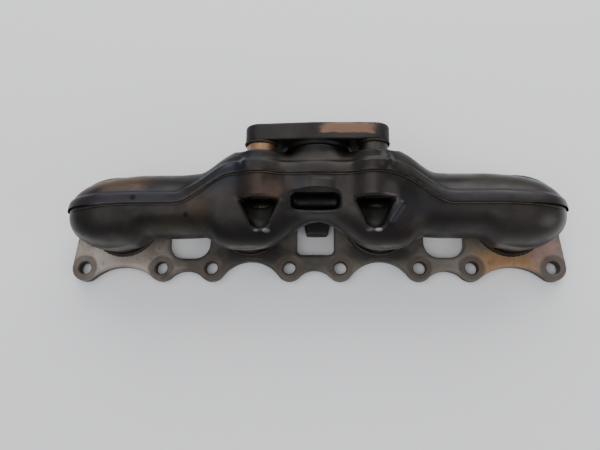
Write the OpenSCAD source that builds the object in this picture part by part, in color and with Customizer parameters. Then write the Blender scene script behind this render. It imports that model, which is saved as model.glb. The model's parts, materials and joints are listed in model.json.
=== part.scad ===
// Air-gap insulated exhaust manifold for a four-cylinder turbo diesel engine.
// Origin: cylinder-head face of the head flange, on the port line, midway between ports 2 and 3.
// +X runs along the cylinders, +Y points to the turbocharger, +Z points away from the cylinder head.

/* [Ports] */
// Distance between neighbouring cylinders
bore_pitch = 94; // [88:1:100]
// Outer radius of each gas liner where it enters the head flange
liner_r = 16.5; // [16:0.5:17]
// Wall thickness of the gas liners
liner_wall = 1.5; // [1:0.1:2]

/* [Head flange] */
// Thickness of the head flange plate
plate_t = 10; // [8:0.5:12]
// Distance from the port line down to the lower row of stud holes
stud_drop = 35; // [34:0.5:36]
// Distance from the port line up to the two upper stud holes
stud_rise = 27; // [26:0.5:28]
// Spacing of the two lower stud holes that flank each port
stud_pair = 57; // [56:0.5:58]
// Radius of the stud holes
stud_hole_r = 4.5; // [4.2:0.1:5]
// Radius of the rounded lug round each stud hole
lug_r = 9.6; // [9:0.1:10]
// Radius of the shallow seat that the flange nut clamps on
nut_seat_r = 8.7; // [8:0.1:9]
// Depth of the nut seat
nut_seat_depth = 0.4; // [0.2:0.1:0.8]
// Radius of the pad round each port
pad_r = 33; // [32:0.5:34]

/* [Outer shells] */
// Wall thickness of the pressed outer shells
shell_wall = 1.5; // [1.2:0.1:2]
// Width of the lap where the upper shell covers the edge of the lower one
lap_w = 7; // [5:0.5:9]
// Height of the shell crest above the head face
crest_z = 66; // [64:0.5:68]
// Height of the shell underside between the ports
belly_z = 17; // [16:0.5:18]
// Height of the widest part of the shell
waist_z = 41; // [40:0.5:43]
// Distance from the centre to each rounded shell end
shell_end = 168.5; // [166:0.5:170]
// Length of each rounded shell end
end_round = 31; // [26:1:34]
// Radius of the collars that stand the shell on the head flange
collar_r = 23.5; // [23:0.5:24.5]

/* [Turbo flange] */
// Sideways place of the turbo flange
turbo_x = 3; // [0:1:6]
// Height of the gas outlet above the head face
outlet_z = 49.5; // [49.5:0.1:50]
// Distance from the port line to the back of the turbo flange
turbo_back = 39.5; // [39.5:0.5:44]
// Thickness of the turbo flange
turbo_t = 12; // [10:0.5:14]
// Spacing of the two upper turbo bolts
turbo_bolt_pitch = 75; // [72:1:76]
// Height of the two upper turbo bolts
turbo_bolt_z = 62; // [61:0.5:64]
// Height of the lower turbo bolt
turbo_low_z = 19.5; // [19:0.1:19.5]
// Radius of the turbo bolt holes
turbo_hole_r = 5.25; // [4.5:0.25:5.5]
// Outer radius of the upper bolt sleeves
sleeve_r = 9.5; // [9:0.25:10]

/* [Hidden] */
eps = 0.01;
port_x = [for (k = [-1.5:1:1.5]) k * bore_pitch];
pair_x = [for (p = port_x, side = [-1, 1]) p + side * stud_pair / 2];
upper_x = [-bore_pitch, bore_pitch];
round_fn = 96;
upper_fillet_r = 12;
mid_fillet_r = 30;
arc_step = 8;
// Fillet radius below each pair of neighbouring lower lugs
scallop_r = [34, 16.7, 25.5, 15.6, 25.5, 16.7, 34];

// Windows in the plate between the ports: left, right, low and high edges
left_window = [-107.5, -77, -28, 9];
right_window = [79, 108, -27.5, 9];
mid_window = [-13, 14, -25.5, 0];
window_corner = 11;
mid_window_corner = 4;
// Tapered tab that hangs into the middle window
tab = [[-9, 1], [-6, -11], [9, -11], [12, 1]];

// Shell outline stations and section angles
station_count = 40;
section_steps = 28;
// Powers that round the shell ends and square off its section
end_power = 2.3;
end_root = 2.1;
section_power = 0.84;

// The shell changes shape over these runs along X: half width of the run's outer end, and its length
rise_run = [94, 44];
seam_run = [92, 41];
swell_run = [79, 26];
lobe_run = [68, 14];
waist_run = [31, 13];
// The arms taper from here out, over this length
taper_start = 112;
taper_length = 62;
// How far the shell and its seam lie from the port line, and what is added or taken away there
seam_back = 20;
arm_back = 22.9;
swell_back = 13.3;
taper_back = 7;
dip_back = 2.2;
dip_half = 40;
lobe_front = 25.8;
mid_lobe_front = 2;
waist_front = 6.6;
arch_front = 17.6;
arch_half = 38;
arch_rise = 13;
arch_rise_half = 26;
crest_rise = 5;
waist_rise = 9;

// Turbo bolts and the pockets that give a spanner room to reach them
turbo_bolt_x = [turbo_x - turbo_bolt_pitch / 2, turbo_x + turbo_bolt_pitch / 2];
turbo_lug_r = 10.5;
low_lug_r = 11;
crown_r = 49;
crown_rise = 1.2;
sleeve_bore_r = 6;
low_sleeve_r = 7.2;
low_sleeve_bore_r = 5.5;
low_sleeve_start = 22;
boss_r = 14.5;
boss_l = 34;
hub_r = 23;
hub_l = 2.5;
neck_start = 9;
pocket_r = 9.5;
pocket_mouth = 14.5;
pocket_run = 19;
pocket_lift = 6;
pocket_end_r = 5;
pocket_end_mouth = 8;
pocket_sides = 11;
pocket_open = 14;
// Hollow between the two bosses
groove_r = 8;
groove_l = 31;
groove_y = -0.5;
groove_sink = 5.5;
// Collars: their axis lies a little in front of the port line
collar_y = -1.5;
collar_top = 29;
collar_taper = 1;

// Gas path
liner_in = liner_r - liner_wall;
runner_z = 41;
elbow_r = 23;
slip_x = 72;
slip_len = 10;
slip_gap = 0.4;
socket_r = liner_r + slip_gap + liner_wall;
duct_low = 18;
duct_end = 62;
duct_shoulder = 20;
// Discs that the collector duct runs through: [y, z, radius]
end_disc = [4, 34, 16];
shoulder_disc = [7, 37.5, 12.5];
mid_disc = [13, 42, 9];
riser_top = 38;
riser_cap = 8;
outlet_start = 10;
outlet_join = 28;
split_z = 36;
liner_lip = 1;
outlet_r = 17.5;
neck_r = outlet_r + liner_wall + 0.8 + shell_wall;
bead = 2.4;
joint_gap = 0.15;

// ---------- shell shape as functions of the place along X ----------

function ease(t) = let (u = min(1, max(0, t))) u * u * (3 - 2 * u);
function hump(t) = abs(t) < 1 ? pow(cos(90 * t), 2) : 0;

// 1 over the wide middle of the shell, 0 out along the arms
function middle(x) = ease((rise_run[0] - abs(x - 1)) / rise_run[1]);

// Place of the seam between the two shells
function seam_y(x) = seam_back * ease((seam_run[0] - abs(x)) / seam_run[1]);

// 1 where the shell swells towards the turbo, 0 out along the arms
function swell(x) = ease((swell_run[0] - abs(x - turbo_x)) / swell_run[1]);

// Reach of the shell towards the turbo. The arms taper towards their ends.
function back_reach(x) =
  arm_back + swell_back * swell(x) - dip_back * hump((x - turbo_x) / dip_half)
  - taper_back * ease((abs(x) - taper_start) / taper_length);

// 1 where the shell is drawn in between an end port and its neighbour
function waisted(x) = ease((waist_run[0] - abs(abs(x) - bore_pitch + 1)) / waist_run[1]);

// Reach of the shell away from the turbo. An arch between the middle ports gives access to the
// lower turbo bolt.
function front_reach(x) =
  lobe_front + mid_lobe_front * ease((lobe_run[0] - abs(x)) / lobe_run[1])
  - waist_front * waisted(x) - arch_front * hump((x - turbo_x) / arch_half);

// Top and underside of the shell
function top_z(x) = crest_z + crest_rise * middle(x);
function waist_at(x) = waist_z + waist_rise * middle(x);
function under_z(x) = belly_z + arch_rise * hump((x - turbo_x) / arch_rise_half);

// Shrinks the section to a rounded end
function end_scale(x, grow) =
  let (
    flat = shell_end - end_round,
    u = max(0, abs(x) - flat) / (end_round + grow)
  )
  pow(max(0, 1 - pow(u, end_power)), 1 / end_root);

function squircle(c) = sign(c) * pow(abs(c), section_power);

// One closed section of the shell at x, offset outwards by grow
function section(x, grow) =
  let (
    k = end_scale(x, grow),
    seam = seam_y(x),
    back = (back_reach(x) - seam + grow) * k,
    front = (front_reach(x) + seam + grow) * k,
    waist = waist_at(x),
    up = (top_z(x) - waist + grow) * k,
    down = (waist - under_z(x) + grow) * k
  )
  [for (i = [0:section_steps - 1])
    let (
      a = 360 * i / section_steps,
      c = squircle(cos(a)),
      s = squircle(sin(a))
    )
    [x, seam + c * (c > 0 ? back : front), waist + s * (s > 0 ? up : down)]];

// Stations lie closer together near the rounded ends
function station_x(i, grow) =
  let (t = -1 + 2 * i / station_count, reach = shell_end + grow - 0.35)
  reach * (0.62 * t + 0.38 * sin(90 * t));

module shell_log(grow) {
  rings = [for (i = [0:station_count]) section(station_x(i, grow), grow)];
  n = section_steps;
  points = [for (ring = rings) each ring];
  sides = [
    for (i = [0:station_count - 1], j = [0:n - 1])
      let (a = i * n + j, b = i * n + (j + 1) % n)
      each [[a, b + n, b], [a, a + n, b + n]]
  ];
  first = [for (j = [0:n - 1]) j];
  last = [for (j = [n - 1:-1:0]) station_count * n + j];
  polyhedron(points = points, faces = concat(sides, [first, last]), convexity = 6);
}

// Collar of one port, spreading a little where it runs up into the log
module collar(x, grow) {
  hull() {
    translate([x, collar_y, plate_t])
      cylinder(r = collar_r + grow, h = eps, $fn = 48);
    translate([x, collar_y, collar_top])
      cylinder(r = collar_r - collar_taper + grow, h = eps, $fn = 48);
  }
}

// Boss over an upper turbo bolt sleeve
module bolt_boss(x, grow) {
  translate([x, -grow, turbo_bolt_z])
    rotate([-90, 0, 0])
      cylinder(r = boss_r + grow, h = boss_l, $fn = 48);
}

// Pocket in front of a boss, open upwards, where the bolt head and its socket go in.
// Its floor climbs away from the boss, and its end is narrower.
module bolt_pocket(x, grow) {
  hull() {
    translate([x, -grow, turbo_bolt_z])
      pocket_slice(pocket_r - grow, pocket_mouth - grow);
    translate([x, -pocket_run + grow, turbo_bolt_z + pocket_lift])
      pocket_slice(pocket_end_r - grow / 2, pocket_end_mouth - grow / 2);
  }
}

module pocket_slice(r, mouth) {
  rotate([90, 0, 0])
    linear_extrude(height = eps)
      union() {
        circle(r = r, $fn = 32);
        translate([-mouth, pocket_sides])
          square([2 * mouth, pocket_open]);
      }
}

// Round neck of the shell where the gas outlet leaves
module outlet_neck(grow) {
  translate([turbo_x, neck_start, outlet_z])
    rotate([-90, 0, 0])
      cylinder(r = neck_r + grow, h = turbo_back - hub_l - neck_start, $fn = 56);
}

// The closed form that both shells are pressed to, offset outwards by grow
module shell_form(grow) {
  difference() {
    union() {
      shell_log(grow);
      for (x = port_x)
        collar(x, grow);
      for (x = turbo_bolt_x)
        bolt_boss(x, grow);
      outlet_neck(grow);
    }
    for (x = turbo_bolt_x)
      bolt_pocket(x, grow);
    translate([turbo_x - 1 - groove_l / 2, groove_y, top_z(0) - groove_sink])
      rotate([0, 90, 0])
        cylinder(r = groove_r - grow, h = groove_l, $fn = 32);
  }
}

// Everything on the turbo side of the seam, moved along Y by shift
module turbo_side(shift) {
  reach = 190;
  steps = 60;
  edge = [for (i = [0:steps]) let (x = -reach + 2 * reach * i / steps) [x, seam_y(x) + shift]];
  translate([0, 0, -5])
    linear_extrude(height = 100)
      polygon(concat(edge, [[reach, 90], [-reach, 90]]));
}

// Everything inside the pressed form that both shells leave open
module shell_openings(grow) {
  shell_form(grow);
  for (x = port_x)
    translate([x, collar_y, 0])
      cylinder(r = collar_r + grow, h = plate_t + 1, $fn = 48);
  for (x = turbo_bolt_x)
    translate([x, grow, turbo_bolt_z])
      rotate([-90, 0, 0])
        cylinder(r = sleeve_r + joint_gap, h = 70, $fn = 48);
  translate([turbo_x, neck_start - grow, outlet_z])
    rotate([-90, 0, 0])
      cylinder(r = neck_r + grow, h = 60, $fn = 56);
}

module shell_lower() {
  color("dimgray")
    difference() {
      shell_form(0);
      shell_openings(-shell_wall);
      turbo_side(lap_w);
    }
}

module shell_upper() {
  color("gray")
    intersection() {
      difference() {
        shell_form(shell_wall);
        shell_openings(0);
      }
      turbo_side(0);
    }
}

// ---------- head flange ----------

function dist(a, b) = norm(a - b);

// Centre of a circle of radius r that touches both given circles, on the right of a to b
function fillet_centre(a, ra, b, rb, r) =
  let (
    d = dist(a, b),
    u = (b - a) / d,
    along = (d * d + pow(ra + r, 2) - pow(rb + r, 2)) / (2 * d),
    off = sqrt(pow(ra + r, 2) - along * along)
  )
  a + u * along + [u[1], -u[0]] * off;

function right_of(v) = [v[1], -v[0]];

// Where the outline leaves circle p for circle q. A circle is [centre, radius, side]: side is 1 for a
// lug, which the outline goes round anticlockwise, and -1 for a fillet between two lugs.
function leave_point(p, q) =
  let (d = dist(p[0], q[0]), u = (q[0] - p[0]) / d)
  p[2] == q[2]
    ? let (lean = (p[1] - q[1]) / d) p[0] + p[1] * (u * lean + right_of(u) * sqrt(1 - lean * lean))
    : p[0] + u * p[1];

function reach_point(p, q) =
  p[2] == q[2]
    ? q[0] + (leave_point(p, q) - p[0]) * q[1] / p[1]
    : leave_point(p, q);

function bearing(c, p) = atan2(p[1] - c[1], p[0] - c[0]);

// Points along circle c between two points on it
function arc_points(c, from, to) =
  let (
    start = bearing(c[0], from),
    turn = c[2] * (bearing(c[0], to) - start),
    sweep = turn < 0 ? turn + 360 : turn,
    steps = max(2, ceil(sweep / arc_step))
  )
  [for (i = [0:steps]) c[0] + c[1] * [for (f = [0, 90]) cos(start + c[2] * sweep * i / steps - f)]];

// Closed outline round a list of circles
function outline(circles) =
  let (n = len(circles))
  [for (i = [0:n - 1])
    let (before = circles[(i + n - 1) % n], here = circles[i], after = circles[(i + 1) % n])
    each arc_points(here, reach_point(before, here), leave_point(here, after))];

function lug(place, r) = [place, r, 1];

function fillet(a, b, r) = [fillet_centre(a[0], a[1], b[0], b[1], r), r, -1];

// Puts a fillet between each pair of neighbours in a row of lugs
function filleted(row, radii) = [
  for (i = [0:len(row) - 1]) each i < len(row) - 1
    ? [row[i], fillet(row[i], row[i + 1], radii[i])]
    : [row[i]]
];

module head_flange_outline() {
  lower = [for (x = pair_x) lug([x, -stud_drop], lug_r)];
  upper = [
    lug([port_x[3], 0], pad_r),
    lug([upper_x[1], stud_rise], lug_r),
    lug([port_x[2], 0], pad_r),
    lug([port_x[1], 0], pad_r),
    lug([upper_x[0], stud_rise], lug_r),
    lug([port_x[0], 0], pad_r)
  ];
  upper_radii = [for (i = [0:4]) i == 2 ? mid_fillet_r : upper_fillet_r];
  polygon(outline(concat(filleted(lower, scallop_r), filleted(upper, upper_radii))));
}

// Window between two ports, with rounded lower corners
module window(edges, corner) {
  left = edges[0];
  right = edges[1];
  low = edges[2];
  high = edges[3];
  bend_left = [[left + corner, low + corner], corner, 1];
  bend_right = [[right - corner, low + corner], corner, 1];
  polygon(concat(
    [[right, high], [left, high]],
    arc_points(bend_left, [left, low + corner], [left + corner, low]),
    arc_points(bend_right, [right - corner, low], [right, low + corner])
  ));
}

module centre_window() {
  difference() {
    window(mid_window, mid_window_corner);
    polygon(tab);
  }
}

module head_flange() {
  color("rosybrown")
    difference() {
      linear_extrude(height = plate_t)
        head_flange_outline();
      translate([0, 0, -1])
        linear_extrude(height = plate_t + 2) {
          window(left_window, window_corner);
          window(right_window, window_corner);
          centre_window();
        }
      for (x = port_x)
        translate([x, 0, -1])
          cylinder(r = liner_r, h = plate_t + 2, $fn = round_fn);
      for (x = pair_x)
        stud_hole(x, -stud_drop);
      for (x = upper_x)
        stud_hole(x, stud_rise);
    }
}

module stud_hole(x, y) {
  translate([x, y, -1])
    cylinder(r = stud_hole_r, h = plate_t + 2, $fn = 48);
  translate([x, y, plate_t - nut_seat_depth])
    cylinder(r = nut_seat_r, h = 1, $fn = 48);
}

// ---------- gas liners ----------

module tube(outer, inner, h) {
  difference() {
    cylinder(r = outer, h = h, $fn = round_fn);
    translate([0, 0, -1])
      cylinder(r = inner, h = h + 2, $fn = round_fn);
  }
}

// Elbow liner of an end cylinder: up out of the flange, round a bend, then in towards the middle
module runner_liner(side) {
  x = side * 1.5 * bore_pitch;
  rise = runner_z - elbow_r;
  run_start = 1.5 * bore_pitch - elbow_r;
  run_end = slip_x - slip_len;
  color("darkgray")
    union() {
      translate([x, 0, liner_lip])
        tube(liner_r, liner_in, rise - liner_lip);
      translate([x - side * elbow_r, 0, rise])
        rotate([90, 0, side > 0 ? 0 : 180])
          rotate_extrude(angle = 90, $fn = round_fn)
            translate([elbow_r, 0])
              difference() {
                circle(r = liner_r, $fn = round_fn);
                circle(r = liner_in, $fn = round_fn);
              }
      translate([side * run_end, 0, runner_z])
        rotate([0, side * 90, 0])
          tube(liner_r, liner_in, run_start - run_end);
    }
}

// Straight liner of an inner cylinder, up into the floor of the collector
module port_liner(side) {
  color("darkgray")
    translate([side * bore_pitch / 2, 0, liner_lip])
      tube(liner_r, liner_in, duct_low - liner_lip);
}

// Disc across the collector duct at x. disc is [y, z, radius], and in is the wall inset.
module duct_disc(x, disc, in) {
  translate([x, disc[0], disc[1]])
    rotate([0, 90, 0])
      cylinder(r = disc[2] - in, h = eps, center = true, $fn = 64);
}

// One half of the collector duct: it runs level over an inner port, then narrows and climbs over
// the arch to meet the outlet
module duct_half(side, in) {
  shoulder = turbo_x + side * duct_shoulder;
  hull() {
    duct_disc(side * (duct_end - in), end_disc, in);
    duct_disc(shoulder, shoulder_disc, in);
  }
  hull() {
    duct_disc(shoulder, shoulder_disc, in);
    duct_disc(turbo_x, mid_disc, in);
  }
}

module collector_form(in) {
  for (side = [-1, 1]) {
    duct_half(side, in);
    translate([side * bore_pitch / 2, 0, duct_low + in])
      riser(liner_r + 0.5 - in, riser_top - duct_low - in);
  }
}

// Upright part of the collector over an inner port, with a sloping top
module riser(r, h) {
  cylinder(r = r, h = h, $fn = round_fn);
  translate([0, 0, h])
    cylinder(r1 = r, r2 = r - riser_cap, h = riser_cap, $fn = round_fn);
}

// Sockets that the inner ends of the runner liners slide in
module collector_sockets(r, start, end) {
  for (side = [-1, 1])
    translate([side * start, 0, runner_z])
      rotate([0, side * 90, 0])
        cylinder(r = r, h = end - start, $fn = round_fn);
}

module collector_outlet(r, start, end) {
  translate([turbo_x, start, outlet_z])
    rotate([-90, 0, 0])
      cylinder(r = r, h = end - start, $fn = round_fn);
}

module collector_liner() {
  socket_start = slip_x - slip_len - 3;
  difference() {
    union() {
      collector_form(0);
      collector_sockets(socket_r, socket_start - liner_wall, slip_x);
      collector_outlet(outlet_r + liner_wall, outlet_start, outlet_join);
    }
    collector_form(liner_wall);
    collector_sockets(liner_r + slip_gap, socket_start, slip_x + 1);
    collector_outlet(outlet_r, outlet_start + liner_wall, outlet_join + 1);
    for (side = [-1, 1])
      translate([side * bore_pitch / 2, 0, duct_low - 1])
        cylinder(r = liner_in, h = 8, $fn = round_fn);
  }
}

module collector_liner_bottom() {
  color("silver")
    intersection() {
      collector_liner();
      translate([-100, -50, 0])
        cube([200, 100, split_z]);
    }
}

module collector_liner_top() {
  color("darkgray")
    intersection() {
      collector_liner();
      translate([-100, -50, split_z])
        cube([200, 100, 50]);
    }
}

// Tube that carries the gas from the collector into the turbo flange
module outlet_liner() {
  color("silver")
    translate([turbo_x, outlet_join, outlet_z])
      rotate([-90, 0, 0])
        tube(outlet_r + liner_wall, outlet_r, turbo_back + hub_l + 1 - outlet_join);
}

// ---------- turbo flange and its bolt sleeves ----------

module turbo_outline() {
  polygon(outline([
    lug([turbo_x, turbo_low_z], low_lug_r),
    lug([turbo_bolt_x[1], turbo_bolt_z], turbo_lug_r),
    lug([turbo_x, turbo_bolt_z + turbo_lug_r + crown_rise - crown_r], crown_r),
    lug([turbo_bolt_x[0], turbo_bolt_z - 0.7], turbo_lug_r)
  ]));
}

// Lays a drawing of X and Z out as a slab from y towards the turbo
module upright(y, t) {
  translate([0, y + t, 0])
    rotate([90, 0, 0])
      linear_extrude(height = t)
        children();
}

module turbo_flange() {
  color("slategray")
    difference() {
      union() {
        upright(turbo_back, turbo_t)
          turbo_outline();
        // Round hub on the back of the flange
        translate([turbo_x, turbo_back - hub_l, outlet_z])
          rotate([-90, 0, 0])
            cylinder(r1 = hub_r - 1, r2 = hub_r, h = hub_l + 1, $fn = round_fn);
      }
      translate([turbo_x, turbo_back - 10, outlet_z])
        rotate([-90, 0, 0])
          cylinder(r = outlet_r, h = 40, $fn = round_fn);
      translate([turbo_x, turbo_back - 10, outlet_z])
        rotate([-90, 0, 0])
          cylinder(r = outlet_r + liner_wall, h = 15, $fn = round_fn);
      for (x = turbo_bolt_x)
        turbo_bolt_hole(x, turbo_bolt_z);
      turbo_bolt_hole(turbo_x, turbo_low_z);
    }
}

module turbo_bolt_hole(x, z) {
  translate([x, turbo_back - 10, z])
    rotate([-90, 0, 0])
      cylinder(r = turbo_hole_r, h = 40, $fn = 64);
}

// Sleeve that holds a turbo bolt clear of the shell, from start to the back of the flange
module bolt_sleeve(x, z, r, bore, start, tone) {
  color(tone)
    translate([x, start, z])
      rotate([-90, 0, 0])
        tube(r, bore, turbo_back - start);
}

// ---------- weld beads ----------

// Fillet bead round a circle of radius r: one leg on the face below, one on the wall inside
module bead_ring(r, size) {
  rotate_extrude($fn = round_fn)
    polygon([[r, 0], [r + size, 0], [r + 0.7 * size, 0.55 * size], [r, size]]);
}

module collar_weld(k) {
  color("saddlebrown")
    translate([port_x[k], collar_y, plate_t])
      bead_ring(collar_r + shell_wall + 0.1, bead);
}

module liner_weld(k) {
  color("sienna")
    translate([port_x[k], 0, 0])
      rotate_extrude($fn = round_fn)
        polygon([[liner_in, liner_lip], [liner_r, liner_lip], [liner_r, 0.15]]);
}

module outlet_weld() {
  color("saddlebrown")
    translate([turbo_x, turbo_back + 5, outlet_z])
      rotate([-90, 0, 0])
        rotate_extrude($fn = round_fn)
          polygon([[outlet_r - 1.1, 0.6], [outlet_r, 0], [outlet_r, 1.6]]);
}

module sleeve_weld(x, z, r) {
  color("sienna")
    translate([x, turbo_back, z])
      rotate([90, 0, 0])
        bead_ring(r, 1.6);
}

// Height of a bolt boss at dx from its axis
function boss_top(dx) = abs(dx) < boss_r ? turbo_bolt_z + sqrt(boss_r * boss_r - dx * dx) : 0;

// Bead along the edge of the lap, following the seam from end to end over the crest and bosses
module seam_weld() {
  steps = 80;
  reach = shell_end - 4;
  size = 1.2;
  ring = [[0, 0], [-size, 0], [-0.6 * size, 0.7 * size], [0, shell_wall]];
  n = len(ring);
  points = [
    for (i = [0:steps])
      let (
        x = -reach + 2 * reach * i / steps,
        waist = waist_at(x),
        crest = waist + (top_z(x) - waist) * end_scale(x, 0),
        z = max([crest, for (b = turbo_bolt_x) boss_top(x - b)]) + 0.05
      )
      each [for (p = ring) [x, seam_y(x) + p[0], z + p[1]]]
  ];
  sides = [
    for (i = [0:steps - 1], j = [0:n - 1])
      let (a = i * n + j, b = i * n + (j + 1) % n)
      each [[a, b + n, b], [a, a + n, b + n]]
  ];
  first = [for (j = [0:n - 1]) j];
  last = [for (j = [n - 1:-1:0]) steps * n + j];
  color("dimgray")
    polyhedron(points = points, faces = concat(sides, [first, last]), convexity = 4);
}

head_flange();
shell_lower();
shell_upper();
runner_liner(-1);  // runner_liner_1
runner_liner(1);  // runner_liner_4
port_liner(-1);  // port_liner_2
port_liner(1);  // port_liner_3
collector_liner_bottom();
collector_liner_top();
outlet_liner();
turbo_flange();
bolt_sleeve(turbo_bolt_x[0], turbo_bolt_z, sleeve_r, sleeve_bore_r, 0, "peru");  // bolt_sleeve_left
bolt_sleeve(turbo_bolt_x[1], turbo_bolt_z, sleeve_r, sleeve_bore_r, 0, "gray");  // bolt_sleeve_right
bolt_sleeve(turbo_x, turbo_low_z, low_sleeve_r, low_sleeve_bore_r, low_sleeve_start, "gray");  // bolt_sleeve_lower
collar_weld(0);  // collar_weld_1
collar_weld(1);  // collar_weld_2
collar_weld(2);  // collar_weld_3
collar_weld(3);  // collar_weld_4
liner_weld(0);  // liner_weld_1
liner_weld(1);  // liner_weld_2
liner_weld(2);  // liner_weld_3
liner_weld(3);  // liner_weld_4
outlet_weld();
sleeve_weld(turbo_bolt_x[0], turbo_bolt_z, sleeve_r);  // sleeve_weld_left
sleeve_weld(turbo_bolt_x[1], turbo_bolt_z, sleeve_r);  // sleeve_weld_right
sleeve_weld(turbo_x, turbo_low_z, low_sleeve_r);  // sleeve_weld_lower
seam_weld();
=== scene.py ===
import json
import math

import bpy
import numpy as np
from mathutils import Matrix

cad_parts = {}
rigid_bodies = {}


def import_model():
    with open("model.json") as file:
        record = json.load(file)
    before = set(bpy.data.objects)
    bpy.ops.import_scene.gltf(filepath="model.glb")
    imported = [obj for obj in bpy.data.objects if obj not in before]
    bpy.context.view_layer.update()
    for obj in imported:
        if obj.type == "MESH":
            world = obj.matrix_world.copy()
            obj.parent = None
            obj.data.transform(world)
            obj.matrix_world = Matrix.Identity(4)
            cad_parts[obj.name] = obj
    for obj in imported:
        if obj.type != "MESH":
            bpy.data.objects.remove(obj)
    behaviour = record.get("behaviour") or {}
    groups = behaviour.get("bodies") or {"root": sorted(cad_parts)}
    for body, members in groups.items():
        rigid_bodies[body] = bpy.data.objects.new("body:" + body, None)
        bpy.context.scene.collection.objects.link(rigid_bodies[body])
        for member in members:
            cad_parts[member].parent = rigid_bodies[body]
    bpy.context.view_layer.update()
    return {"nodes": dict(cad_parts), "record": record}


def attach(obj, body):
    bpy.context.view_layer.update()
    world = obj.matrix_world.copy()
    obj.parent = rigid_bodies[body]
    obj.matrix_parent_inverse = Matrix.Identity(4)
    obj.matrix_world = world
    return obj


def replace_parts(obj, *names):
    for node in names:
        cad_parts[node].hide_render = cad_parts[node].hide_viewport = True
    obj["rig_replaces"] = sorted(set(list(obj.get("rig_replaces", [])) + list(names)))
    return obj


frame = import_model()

# Air-gap insulated exhaust manifold, in the frame of the CAD model. Lengths are in millimetres and turn
# into metres where a mesh is made. Only the lights and the camera are placed in metres. The shells, the
# head flange and the turbo flange are distance functions, and a surface net makes a mesh of each one.
MM = 0.001
RANDOM = np.random.default_rng(7)

# ---------- driving dimensions ----------
BORE_PITCH = 94
PORT_X = [k * BORE_PITCH for k in (-1.5, -0.5, 0.5, 1.5)]
LINER_R = 16.5
PLATE_T = 10
STUD_DROP = 35
STUD_RISE = 27
STUD_PAIR = 57
STUD_X = [port + side * STUD_PAIR / 2 for port in PORT_X for side in (-1, 1)]
STUD_HOLE_R = 4.5
LUG_R = 9.6
NUT_SEAT_R = 8.7
NUT_SEAT_DEPTH = 0.4
PAD_R = 33
SHELL_WALL = 1.5
LAP_W = 7
CREST_Z = 66
BELLY_Z = 17
WAIST_Z = 41
SHELL_END = 168.5
END_ROUND = 31
COLLAR_R = 23.5
COLLAR_Y = -1.5
TURBO_X = 3
OUTLET_Z = 49.5
OUTLET_R = 17.5
LINER_WALL = 1.5
NECK_R = OUTLET_R + LINER_WALL + 0.8 + SHELL_WALL
NECK_START = 9
TURBO_BACK = 39.5
TURBO_T = 12
TURBO_BOLT_X = [TURBO_X - 37.5, TURBO_X + 37.5]
TURBO_BOLT_Z = 62
TURBO_LOW_Z = 19.5
TURBO_HOLE_R = 5.25
TURBO_LUG_R = 10.5
CROWN_R = 49
HUB_R = 23
HUB_L = 2.5
SLEEVE_R = 9.5
SLEEVE_BORE_R = 6
LOW_SLEEVE_R = 7.2
LOW_SLEEVE_BORE_R = 5.5
LOW_SLEEVE_START = 22
BOSS_R = 14.5
BOSS_L = 31
POCKET_RUN = 19
GROOVE_R = 5
GROOVE_L = 31
GROOVE_SINK = 8.5
GROOVE_Y = -0.5

# Windows of the head flange: left, right, low, high and corner radius
SIDE_WINDOWS = [(-107.5, -77, -28, 9, 11), (79, 108, -27.5, 9, 11)]
MIDDLE_WINDOW = (-13, 14, -25.5, 0, 4)
TAB_X = 1.5
TAB_Y = -11
TAB_HALF = 7.5

# Exponent of the rounded cross-section of the shells. An ellipse has 2.
SECTION_POWER = 2 / 0.84

# Grid steps of the surface nets along X, Y and Z
SHELL_STEP = (1.4, 0.84, 0.84)
PLATE_STEP = (0.83, 0.83, 0.76)
TURBO_STEP = (0.55, 0.55, 0.55)
# The shells are meshed deeper than their wall, on the inner side, so that one cell rarely holds both faces.
SHEET_DEPTH = 2.2

# The camera, solved from the holes and the sleeves: place in metres, backward axis and upward axis
CAMERA_PLACE = (0.01235, -0.1091, 0.4567)
CAMERA_BACK = (0.0503, -0.2300, 0.9719)
CAMERA_UP = (0.0034, 0.9731, 0.2301)


# ---------- small maths ----------

def ease(t):
    """0 below 0, 1 above 1, and a smooth step between."""
    t = np.clip(t, 0, 1)
    return t * t * (3 - 2 * t)


def hump(t):
    """1 at 0, falling smoothly to 0 at -1 and 1."""
    return np.cos(np.pi / 2 * np.clip(t, -1, 1)) ** 2


def soft_min(a, b, r):
    """The smaller of two distances, with a fillet of about r where they meet."""
    h = np.clip(0.5 + 0.5 * (b - a) / r, 0, 1)
    return b * (1 - h) + a * h - r * h * (1 - h)


def soft_max(a, b, r):
    return -soft_min(-a, -b, r)


# ---------- shape of the shells along X ----------
# The lap line, the boss length and the hollow between the pockets differ from the CAD model.

def middle(x):
    return ease((94 - abs(x - 1)) / 44)


def seam_y(x):
    return 18.5 * ease((92 - abs(x)) / 41) - 2 - 2.5 * ease((abs(x) - 120) / 45)


def swell(x):
    return ease((79 - abs(x - TURBO_X)) / 26)


def back_reach(x):
    return 22.9 + 13.3 * swell(x) - 7 * ease((abs(x) - 112) / 62) - 2.2 * hump((x - TURBO_X) / 40)


def waisted(x):
    return ease((31 - abs(abs(x) - BORE_PITCH + 1)) / 13)


def front_reach(x):
    return 25.8 + 2 * ease((68 - abs(x)) / 14) - 6.6 * waisted(x) - 17.6 * hump((x - TURBO_X) / 38)


def top_z(x):
    return CREST_Z + 5 * middle(x)


def waist_at(x):
    return WAIST_Z + 9 * middle(x)


def under_z(x):
    return BELLY_Z + 13 * hump((x - TURBO_X) / 26)


# ---------- distance functions ----------

# Small bumps and a fold pressed into the shells: ends of the axis, radius and blend
PRESSED_BUMPS = [
    ((-41, 23, 71.6), (-38.5, 25, 71.6), 4.5, 2.0),
    ((46.5, 22, 71.6), (46.5, 25, 71.6), 4.8, 2.0),
    ((50.5, -14, 66), (57, -4, 68.7), 2.2, 1.5),
]


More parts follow.
